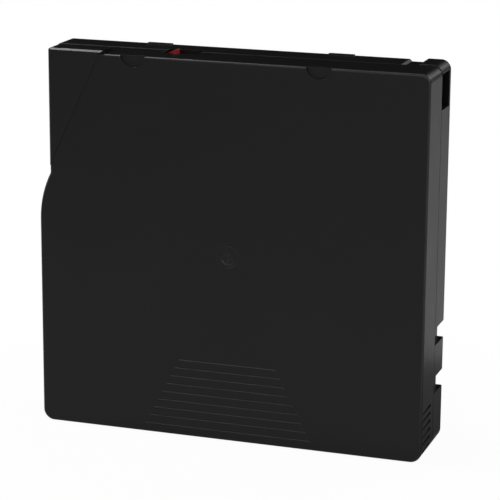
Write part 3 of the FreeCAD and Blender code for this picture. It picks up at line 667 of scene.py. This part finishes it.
def tube_mesh(name: str, path: list[Vector], radius: float, sides: int) -> Mesh:
    """Sweep a round wire along a path, with flat ends.

    Args:
        name: the mesh's name.
        path: points along the wire's middle, in metres.
        radius: the wire's radius in metres.
        sides: how many sides its section has.

    Returns:
        The new mesh.
    """
    work = bmesh.new()
    normal = (path[1] - path[0]).orthogonal().normalized()
    rings = []
    for index, point in enumerate(path):
        ahead = path[min(index + 1, len(path) - 1)]
        behind = path[max(index - 1, 0)]
        tangent = (ahead - behind).normalized()
        normal = (normal - tangent * normal.dot(tangent)).normalized()
        across = tangent.cross(normal)
        rings.append([
            work.verts.new(point + radius * (math.cos(turn) * normal + math.sin(turn) * across))
            for turn in (2.0 * math.pi * side / sides for side in range(sides))
        ])
    for low, high in zip(rings, rings[1:]):
        for side in range(sides):
            following = (side + 1) % sides
            work.faces.new((low[side], low[following], high[following], high[side]))
    work.faces.new(list(reversed(rings[0])))
    work.faces.new(rings[-1])
    bmesh.ops.recalc_face_normals(work, faces=work.faces)
    mesh = finished_mesh(name, work)
    for polygon in mesh.polygons:
        polygon.use_smooth = len(polygon.vertices) == 4
    return mesh


def slab_mesh(name: str, front: list[list[Vector]], back: list[list[Vector]], round_about: bool) -> Mesh:
    """Close the space between two sheets of points into a thin solid.

    Args:
        name: the mesh's name.
        front: rows of points of the front sheet, in metres.
        back: rows of points behind them, as many.
        round_about: whether each row runs round and meets its own start.

    Returns:
        The new mesh.
    """
    work = bmesh.new()
    sheets = [[[work.verts.new(point) for point in row] for row in sheet] for sheet in (front, back)]
    across = len(front[0])
    steps = range(across) if round_about else range(across - 1)
    for sheet in sheets:
        for low, high in zip(sheet, sheet[1:]):
            for step in steps:
                following = (step + 1) % across
                work.faces.new((low[step], low[following], high[following], high[step]))
    for row in (0, len(front) - 1):
        for step in steps:
            following = (step + 1) % across
            work.faces.new((sheets[0][row][step], sheets[0][row][following],
                            sheets[1][row][following], sheets[1][row][step]))
    if not round_about:
        for side in (0, across - 1):
            for row in range(len(front) - 1):
                work.faces.new((sheets[0][row][side], sheets[0][row + 1][side],
                                sheets[1][row + 1][side], sheets[1][row][side]))
    bmesh.ops.recalc_face_normals(work, faces=work.faces)
    return finished_mesh(name, work)


@dataclass
class GateMark:
    """The dished, torn spot with a raised lip that the mould's gate left, over the near face's dimple.

    Attributes:
        face: where the near face lies in millimetres.
        skin: how far the mark's rim lies in front of the face.
        behind: how far its back lies behind the face.
        rim: the radius of the mark.
        core: the share of that radius where the first ring of points lies.
        dish: the radius of the dish.
        bowl: how deep the dish is.
        bank: the mean width of the dish's bank, as a share of the dish's radius.
        bank_swing: how much wider the bank gets towards its widest side.
        bank_turn: the turn of that side from straight up, in radians.
        tear: how far the torn middle stands out of the dish.
        tear_base: how much is added to the tear's pattern, so that more of it stands out.
        coarse: how many of the tear's large lumps there are in a millimetre.
        fine: how many of its small lumps.
        lip: how far the lip under the dish stands out of the face.
        lip_turn: the direction of the lip's middle, in radians.
        lip_sweep: how far the lip runs to either side, in radians.
        lip_radius: how far the lip's crest lies from the middle.
        lip_width: how far the lip reaches to either side of its crest.
        proud: the most that anything of the mark stands out of the face.
        rings: rings of points between the middle and the rim.
        spokes: points in a ring.
    """

    face: float = -10.55
    skin: float = 0.012
    behind: float = 0.24
    rim: float = 3.1
    core: float = 0.02
    dish: float = 2.15
    bowl: float = 0.2
    bank: float = 0.62
    bank_swing: float = 0.3
    bank_turn: float = 0.35
    tear: float = 0.2
    tear_base: float = 0.05
    coarse: float = 1.9
    fine: float = 4.7
    lip: float = 0.22
    lip_turn: float = -1.0
    lip_sweep: float = 1.05
    lip_radius: float = 2.3
    lip_width: float = 0.55
    proud: float = 0.18
    rings: int = 32
    spokes: int = 84

    @staticmethod
    def hump(offset: float) -> float:
        """A smooth hump that is one at nought and nought at one."""
        return max(1.0 - offset * offset, 0.0) ** 2

    def level(self, radius: float, turn: float) -> float:
        """The depth of the mark's surface at a place in it, in millimetres.

        Args:
            radius: the distance from the middle.
            turn: the direction from the middle, in radians.

        Returns:
            The place's y.
        """
        wobble = 0.06 * math.sin(3.0 * turn + 0.7) + 0.04 * math.sin(7.0 * turn)
        bank = self.bank + self.bank_swing * math.sin(turn + self.bank_turn) + wobble
        fall = min(max((1.0 - radius / self.dish) / bank, 0.0), 1.0)
        sunk = self.bowl * fall * fall * (3.0 - 2.0 * fall)
        place = Vector((radius * math.cos(turn), radius * math.sin(turn), 0.0))
        rough = noise.noise(place * self.coarse) + 0.5 * noise.noise(place * self.fine)
        torn = self.tear * max(rough + self.tear_base, 0.0) * self.hump(radius / self.rim)
        aside = math.remainder(turn - self.lip_turn, 2.0 * math.pi) / self.lip_sweep
        crest = self.hump((radius - self.lip_radius) / self.lip_width) * self.hump(aside)
        raised = self.lip * crest * (1.0 + 0.5 * rough)
        return max(self.face - self.skin + sunk - torn - raised, self.face - self.proud)

    def build(self, plastic: Material, axis: Vector) -> None:
        """Build the mark as a thin skin over the dimple.

        Args:
            plastic: the case's plastic.
            axis: where the reel's axis passes, in metres.
        """
        centre = axis / MILLIMETRE
        turns = [2.0 * math.pi * spoke / self.spokes for spoke in range(self.spokes)]
        front = []
        back = []
        for ring in range(self.rings + 1):
            radius = self.rim * (self.core + (1.0 - self.core) * ring / self.rings)
            spots = [(centre.x + radius * math.cos(turn), centre.z + radius * math.sin(turn))
                     for turn in turns]
            front.append([millimetres(x, self.level(radius, turn), z) for (x, z), turn in zip(spots, turns)])
            back.append([millimetres(x, self.face + self.behind, z) for x, z in spots])
        mesh = slab_mesh("gate_mark_skin", front, back, True)
        for polygon in mesh.polygons:
            polygon.use_smooth = True
        mark = add_piece("gate_mark_skin", mesh, plastic)


@dataclass
class CaseHalves:
    """The two moulded halves with the door, their screws and the memory chip that stands inside.

    Attributes:
        plastic: the black plastic of both halves and the door, with a painted highlight on the rims of their
            big faces.
        screw_steel: the screws' finish.
        chip_card: the chip's laminate.
    """

    # The lighter third colour is a painted highlight on the rounded rims of the halves and the door.
    plastic: MouldedPlastic = MouldedPlastic(
        "case_black_plastic", (0.0032, 0.0032, 0.0034), (0.0042, 0.0042, 0.0044),
        (0.32, 0.4), specular=0.3, rim_highlight=(0.024, 0.024, 0.025))
    screw_steel: Steel = Steel("screw_dark_steel", (0.20, 0.20, 0.21), (0.3, 0.45), Axis.Y)
    chip_card: PrintedCard = PrintedCard("chip_card_laminate", (0.012, 0.055, 0.03), (0.035, 0.11, 0.06))

    def dress(self, frame: dict) -> Material:
        """Finish the case's own nodes.

        Args:
            frame: the loaded frame.

        Returns:
            The case's plastic, which the gate mark shares.
        """
        plastic = self.plastic.make()
        finish_nodes(frame, plastic, "near_shell", "far_shell", "door")
        finish_nodes(frame, self.screw_steel.make(), "case_screws")
        finish_nodes(frame, self.chip_card.make(), "memory_chip")
        return plastic


@dataclass
class Switch:
    """The red write-protect switch.

    Attributes:
        plastic: its red plastic.
    """

    plastic: MouldedPlastic = MouldedPlastic(
        "switch_red_plastic", (0.34, 0.012, 0.014), (0.3, 0.015, 0.016), (0.28, 0.36), 0.0002, 0.000002)

    def dress(self, frame: dict) -> None:
        """Finish the switch."""
        finish_nodes(frame, self.plastic.make(), "write_protect_switch")


@dataclass
class Reel:
    """The hub, both flanges, the drive plate and the wound tape.

    Attributes:
        axis: where the reel's axis passes, in metres.
        plastic: the grey plastic of the hub and flanges.
    """

    axis: Vector
    plastic: MouldedPlastic = MouldedPlastic(
        "reel_grey_plastic", (0.36, 0.37, 0.38), (0.33, 0.34, 0.35), (0.38, 0.5), 0.0004, 0.000004)

    def dress(self, frame: dict) -> Material:
        """Finish the reel's nodes.

        Args:
            frame: the loaded frame.

        Returns:
            The tape's finish, which the run behind the pin shares.
        """
        finish_nodes(frame, self.plastic.make(), "reel_hub", "reel_flange")
        plate = TurnedSteel("plate_turned_steel", (0.52, 0.52, 0.51), self.axis).make()
        finish_nodes(frame, plate, "drive_plate")
        tape = WoundTape("tape_wound_film", (0.018, 0.013, 0.011), (0.05, 0.04, 0.034), self.axis).make()
        finish_nodes(frame, tape, "tape_pack")
        return tape


@dataclass
class Coil:
    """A coil spring of round wire, with a closed turn at each end.

    Attributes:
        low: where the spring starts along its axis, in millimetres.
        high: where it ends.
        radius: the radius of its turns.
        wire: the diameter of its wire.
        turns: how many turns rise between the closed ones.
        axis: the direction of its axis.
        sides: how many sides the wire's section has.
        steps: points in each turn.
        closed: how much of a turn lies flat at each end.
    """

    low: float
    high: float
    radius: float
    wire: float
    turns: float
    axis: Axis
    sides: int
    steps: int = 28
    closed: float = 0.8

    def path(self, centre: Vector) -> list[Vector]:
        """The middle of the wire.

        Args:
            centre: where the spring's axis passes, in metres.

        Returns:
            The points in metres.
        """
        start = self.low + self.wire / 2.0
        end = self.high - self.wire / 2.0
        total = self.turns + 2.0 * self.closed
        count = int(total * self.steps)
        points = []
        for index in range(count + 1):
            turn = total * index / count
            risen = min(max((turn - self.closed) / self.turns, 0.0), 1.0)
            level = start + (end - start) * risen
            across = self.radius * math.cos(2.0 * math.pi * turn)
            up = self.radius * math.sin(2.0 * math.pi * turn)
            spot = (across, level, up) if self.axis is Axis.Y else (across, up, level)
            points.append(centre + millimetres(*spot))
        return points

    def build(self, node: str, centre: Vector, steel: Material) -> Object:
        """Build the spring's wire in place of its CAD node.

        Args:
            node: the node's name.
            centre: where the spring's axis passes, in metres.
            steel: its finish.

        Returns:
            The new piece.
        """
        name = f"{node}_wire"
        mesh = tube_mesh(name, self.path(centre), self.wire / 2.0 * MILLIMETRE, self.sides)
        spring = add_piece(name, mesh, steel, node)
        return spring


@dataclass
class BrakeGear:
    """The toothed brake, the release pad and the coil spring behind them.

    Attributes:
        spring: the spring's sizes.
        kept: the share of its length that the spring keeps when the brake is lifted; not used.
        plastic: the white plastic of the brake, the pad and the pin's clip.
    """

    spring: Coil = field(default_factory=lambda: Coil(-8.45, -0.72, 8.3, 0.6, 4.0, Axis.Y, 12))
    kept: float = 0.79
    plastic: MouldedPlastic = MouldedPlastic(
        "brake_white_plastic", (0.62, 0.61, 0.57), (0.56, 0.55, 0.5), (0.34, 0.44), 0.0005, 0.000004)

    def build(self, frame: dict, steel: Material, axis: Vector) -> None:
        """Finish the brake and build its spring.

        Args:
            frame: the loaded frame.
            steel: the springs' finish.
            axis: where the reel's axis passes, in metres.
        """
        finish_nodes(frame, self.plastic.make(), "brake_button", "release_pad", "pin_clip")
        spring = self.spring.build("brake_spring", axis, steel)
        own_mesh(spring)


@dataclass
class DoorSpring:
    """The long coil spring that shuts the door.

    Attributes:
        spring: the spring's sizes.
        foot: the height that it is squashed towards, in millimetres; not used.
        kept: the share of its length that the spring keeps when the door is open; not used.
    """

    spring: Coil = field(default_factory=lambda: Coil(24.12, 75.88, 1.2, 0.35, 24.0, Axis.Z, 8))
    foot: float = 24.0
    kept: float = 0.575

    def build(self, steel: Material) -> None:
        """Build the spring.

        Args:
            steel: the springs' finish.
        """
        spring = self.spring.build("door_spring", axis_of("door_spring", Axis.Z), steel)
        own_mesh(spring)


@dataclass
class LeaderPin:
    """The pin in its seats, its leaf springs and the run of tape behind it.

    Attributes:
        start: where the run of tape leaves the pin, as x and z in millimetres.
        end: where it meets the wound tape.
        near: its near edge.
        far: its far edge.
        thick: its thickness.
        cup: how much it is cupped across its width.
        sag: how far it hangs at the middle of the run.
        steps: stretches along the run.
        strips: strips across its width.
        steel: the pin's finish.
    """

    start: tuple[float, float] = (-41.3, 88.3)
    end: tuple[float, float] = (-4.4, 92.05)
    near: float = -6.2
    far: float = 6.4
    thick: float = 0.1
    cup: float = 0.06
    sag: float = 0.12
    steps: int = 40
    strips: int = 8
    steel: Steel = Steel("pin_ground_steel", (0.56, 0.56, 0.56), (0.16, 0.26), Axis.X)

    def build(self, frame: dict, spring_steel: Material, tape: Material) -> None:
        """Finish the pin's nodes, and build the run of tape.

        Args:
            frame: the loaded frame.
            spring_steel: the springs' finish.
            tape: the tape's finish.
        """
        finish_nodes(frame, self.steel.make(), "leader_pin")
        finish_nodes(frame, spring_steel, "near_pin_spring", "far_pin_spring")
        shares = [strip / self.strips for strip in range(self.strips + 1)]
        rows = [(self.near + (self.far - self.near) * share, self.cup * (2.0 * share - 1.0) ** 2)
                for share in shares]
        front = []
        back = []
        for step in range(self.steps + 1):
            along = step / self.steps
            x = self.start[0] + (self.end[0] - self.start[0]) * along
            level = self.start[1] + (self.end[1] - self.start[1]) * along
            level -= self.sag * 4.0 * along * (1.0 - along)
            front.append([millimetres(x, y, level + cupped) for y, cupped in rows])
            back.append([millimetres(x, y, level - self.thick + cupped) for y, cupped in rows])
        mesh = slab_mesh("tape_run", front, back, False)
        run = add_piece("tape_run", mesh, tape, "tape_leader")


@dataclass
class Lamp:
    """A soft lamp aimed at the middle of the cartridge.

    Attributes:
        name: the lamp's name.
        azimuth: its direction in degrees, 0 in front and growing to the right.
        elevation: its height in degrees.
        distance: how far it stands, in metres.
        width: its width in metres.
        height: its height in metres.
        power: its power in watts.
    """

    name: str
    azimuth: float
    elevation: float
    distance: float
    width: float
    height: float
    power: float

    def build(self, target: Vector) -> None:
        """Put the lamp in the scene.

        Args:
            target: the point that it is aimed at, in metres.
        """
        data = bpy.data.lights.new(self.name, "AREA")
        data.shape = "RECTANGLE"
        data.size = self.width
        data.size_y = self.height
        data.energy = self.power
        lamp = bpy.data.objects.new(self.name, data)
        bpy.context.scene.collection.objects.link(lamp)
        away = direction(self.azimuth, self.elevation)
        lamp.matrix_world = facing(target + away * self.distance, -away)


def direction(azimuth: float, elevation: float) -> Vector:
    """The unit vector from the cartridge towards a place round it.

    Args:
        azimuth: degrees from the front, growing to the right.
        elevation: degrees above level.

    Returns:
        The vector.
    """
    turn = math.radians(azimuth)
    rise = math.radians(elevation)
    return Vector((math.sin(turn) * math.cos(rise), -math.cos(turn) * math.cos(rise), math.sin(rise)))


def facing(place: Vector, forward: Vector, roll: float = 0.0) -> Matrix:
    """A matrix for a camera or lamp that stands at a place and looks along a direction.

    Args:
        place: where it stands.
        forward: the direction that it looks in.
        roll: degrees that it is rolled clockwise.

    Returns:
        The matrix.
    """
    right = forward.cross(Vector((0.0, 0.0, 1.0))).normalized()
    up = right.cross(forward)
    turn = math.radians(roll)
    rolled = right * math.cos(turn) + up * math.sin(turn)
    risen = up * math.cos(turn) - right * math.sin(turn)
    rows = Matrix((rolled, risen, -forward)).transposed()
    return Matrix.Translation(place) @ rows.to_4x4()


@dataclass
class Studio:
    """The floor, the surroundings, the lamps and the camera.

    Attributes:
        target: the point that the camera looks at, in millimetres.
        azimuth: the camera's direction in degrees.
        elevation: the camera's height in degrees.
        roll: the camera's roll in degrees.
        distance: how far the camera stands, in millimetres.
        lens: its focal length in millimetres.
        sensor: the width of its sensor in millimetres.
        sky: the colour of the surroundings' dim light.
        sky_strength: how strong that light is.
        floor_radius: the radius of the floor in metres.
        floor_drop: how far the floor lies under the cartridge, in metres.
        floor_white: how much of the floor is seen as plain white near the cartridge.
        floor_fade: the distances in metres between which the rest turns white.
        curtain_radius: how far the dark curtain hangs from the middle, in metres.
        curtain_drop: how tall it is.
        curtain_level: the height of its middle.
        card: the dark card's left, right, front and back edges, in millimetres.
        card_level: its height in millimetres.
        lamps: the lamps.
    """

    target: Point = (6.22, -10.75, 52.71)
    azimuth: float = 18.61
    elevation: float = 14.52
    roll: float = 0.39
    distance: float = 558.3
    lens: float = 156.29
    sensor: float = 36.0
    sky: Colour = (0.9, 0.94, 1.0)
    sky_strength: float = 0.3
    floor_radius: float = 4.0
    floor_drop: float = 0.0001
    floor_white: float = 0.96
    floor_fade: Range = (0.055, 0.12)
    curtain_radius: float = 2.0
    curtain_drop: float = 5.0
    curtain_level: float = 2.52
    card: tuple[float, float, float, float] = (53.5, 140.0, -20.0, 78.0)
    card_level: float = 0.4
    lamps: tuple[Lamp, ...] = field(default_factory=lambda: (
        Lamp("edge_lamp", -88.0, 60.0, 0.4, 0.09, 0.09, 0.76),
        Lamp("front_lamp", 4.0, 24.0, 1.6, 1.2, 0.8, 8.8),
        Lamp("right_lamp", 80.0, 30.0, 1.2, 0.6, 0.8, 5.4),
        Lamp("rear_lamp", 148.0, 26.0, 1.2, 0.6, 0.6, 3.0),
        Lamp("left_lamp", -70.0, 15.0, 1.3, 0.6, 0.8, 2.0),
    ))

    def build(self) -> None:
        """Build everything that isn't part of the cartridge."""
        middle = millimetres(*self.target)
        for lamp in self.lamps:
            lamp.build(middle)
        self.build_world()
        self.build_floor()
        self.build_curtain()
        self.build_card()
        self.build_camera(middle)

    def build_camera(self, middle: Vector) -> None:
        """Put the camera in the scene.

        Args:
            middle: the point that it looks at, in metres.
        """
        data = bpy.data.cameras.new("studio_camera")
        data.sensor_width = self.sensor
        data.lens = self.lens
        data.clip_start = 0.01
        camera = bpy.data.objects.new("studio_camera", data)
        bpy.context.scene.collection.objects.link(camera)
        away = direction(self.azimuth, self.elevation)
        camera.matrix_world = facing(middle + away * self.distance * MILLIMETRE, -away, self.roll)
        bpy.context.scene.camera = camera

    def build_world(self) -> None:
        """Light the surroundings: white where they are seen or reflected, dim as a light."""
        world = bpy.data.worlds.new("studio_world")
        world.use_nodes = True
        bpy.context.scene.world = world
        tree = world.node_tree
        tree.nodes.clear()
        path = tree.nodes.new("ShaderNodeLightPath")
        shown = path.outputs["Is Camera Ray"]
        for ray in ("Is Glossy Ray", "Is Transmission Ray"):
            either = tree.nodes.new("ShaderNodeMath")
            either.operation = "MAXIMUM"
            tree.links.new(shown, either.inputs[0])
            tree.links.new(path.outputs[ray], either.inputs[1])
            shown = either.outputs[0]
        dim = tree.nodes.new("ShaderNodeBackground")
        dim.inputs["Color"].default_value = (*self.sky, 1.0)
        dim.inputs["Strength"].default_value = self.sky_strength
        white = tree.nodes.new("ShaderNodeBackground")
        white.inputs["Color"].default_value = (1.0, 1.0, 1.0, 1.0)
        mix = tree.nodes.new("ShaderNodeMixShader")
        output = tree.nodes.new("ShaderNodeOutputWorld")
        for source, target in ((shown, mix.inputs[0]), (dim.outputs[0], mix.inputs[1]),
                               (white.outputs[0], mix.inputs[2]), (mix.outputs[0], output.inputs["Surface"])):
            tree.links.new(source, target)

    def build_floor(self) -> None:
        """Lay the pale floor, which is seen as almost white by the cartridge and as white further out."""
        work = bmesh.new()
        bmesh.ops.create_circle(work, cap_ends=True, segments=96, radius=self.floor_radius)
        graph = matt_paper("floor_paper", 0.82, 0.9)
        graph.set("Specular IOR Level", 0.2)
        path = graph.add("ShaderNodeLightPath")
        white = graph.add("ShaderNodeEmission")
        mix = graph.add("ShaderNodeMixShader")
        coordinates = graph.add("ShaderNodeTexCoord")
        length = graph.add("ShaderNodeVectorMath", operation="LENGTH")
        graph.join(coordinates.outputs["Object"], length.inputs[0])
        far = graph.spread(length.outputs["Value"], self.floor_white, 1.0, *self.floor_fade)
        amount = graph.combine(far, path.outputs["Is Camera Ray"], Combine.TIMES)
        graph.join(amount, mix.inputs[0])
        graph.join(graph.shader.outputs["BSDF"], mix.inputs[1])
        graph.join(white.outputs["Emission"], mix.inputs[2])
        graph.join(mix.outputs[0], graph.output.inputs["Surface"])
        set_out("pale_floor", work, graph.material, -self.floor_drop, True)

    def build_curtain(self) -> None:
        """Hang a dark curtain round the table, which only reflections and soft light meet."""
        work = bmesh.new()
        bmesh.ops.create_cone(work, cap_ends=False, segments=96, radius1=self.curtain_radius,
                              radius2=self.curtain_radius, depth=self.curtain_drop)
        cloth = matt_paper("curtain_cloth", 0.012, 1.0)
        set_out("dark_curtain", work, cloth.material, self.curtain_level, False)

    def build_card(self) -> None:
        """Lay a dark card beside the cartridge, which the foot of its right side reflects."""
        left, right, front, back = self.card
        work = bmesh.new()
        edges = ((left, front), (right, front), (right, back), (left, back))
        work.faces.new([work.verts.new(millimetres(x, y, self.card_level)) for x, y in edges])
        set_out("dark_card", work, matt_paper("card_paper", 0.17, 1.0).material, 0.0, False)


def matt_paper(name: str, grey: float, roughness: float) -> Graph:
    """A plain grey material for the studio.

    Args:
        name: the material's name.
        grey: how light it is.
        roughness: its roughness.

    Returns:
        The material's nodes.
    """
    graph = Graph(name)
    graph.set("Base Color", (grey, grey, grey))
    graph.set("Roughness", roughness)
    return graph


def set_out(name: str, work: bmesh.types.BMesh, material: Material, level: float, seen: bool) -> None:
    """Put a piece of the studio in the scene.

    Args:
        name: the piece's name.
        work: its mesh in the making.
        material: its finish.
        level: how high it is placed, in metres.
        seen: whether the camera sees it and it casts a shadow.
    """
    mesh = finished_mesh(name, work)
    mesh.materials.append(material)
    piece = bpy.data.objects.new(name, mesh)
    piece.location.z = level
    piece.visible_camera = seen
    piece.visible_shadow = seen
    bpy.context.scene.collection.objects.link(piece)


def main() -> None:
    """Load the frame, build and finish every piece, and set up the studio."""
    logging.basicConfig(level=logging.INFO, format="%(name)s: %(message)s")
    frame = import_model()
    steel = Steel("spring_drawn_steel", (0.48, 0.48, 0.48), (0.2, 0.32), Axis.Z).make()
    axis = axis_of("reel_hub", Axis.Y)
    plastic = CaseHalves().dress(frame)
    GateMark().build(plastic, axis)
    Switch().dress(frame)
    tape = Reel(axis).dress(frame)
    BrakeGear().build(frame, steel, axis)
    DoorSpring().build(steel)
    LeaderPin().build(frame, steel, tape)
    Studio().build()
    bpy.context.scene.view_settings.view_transform = "Standard"


if __name__ == "__main__":
    main()
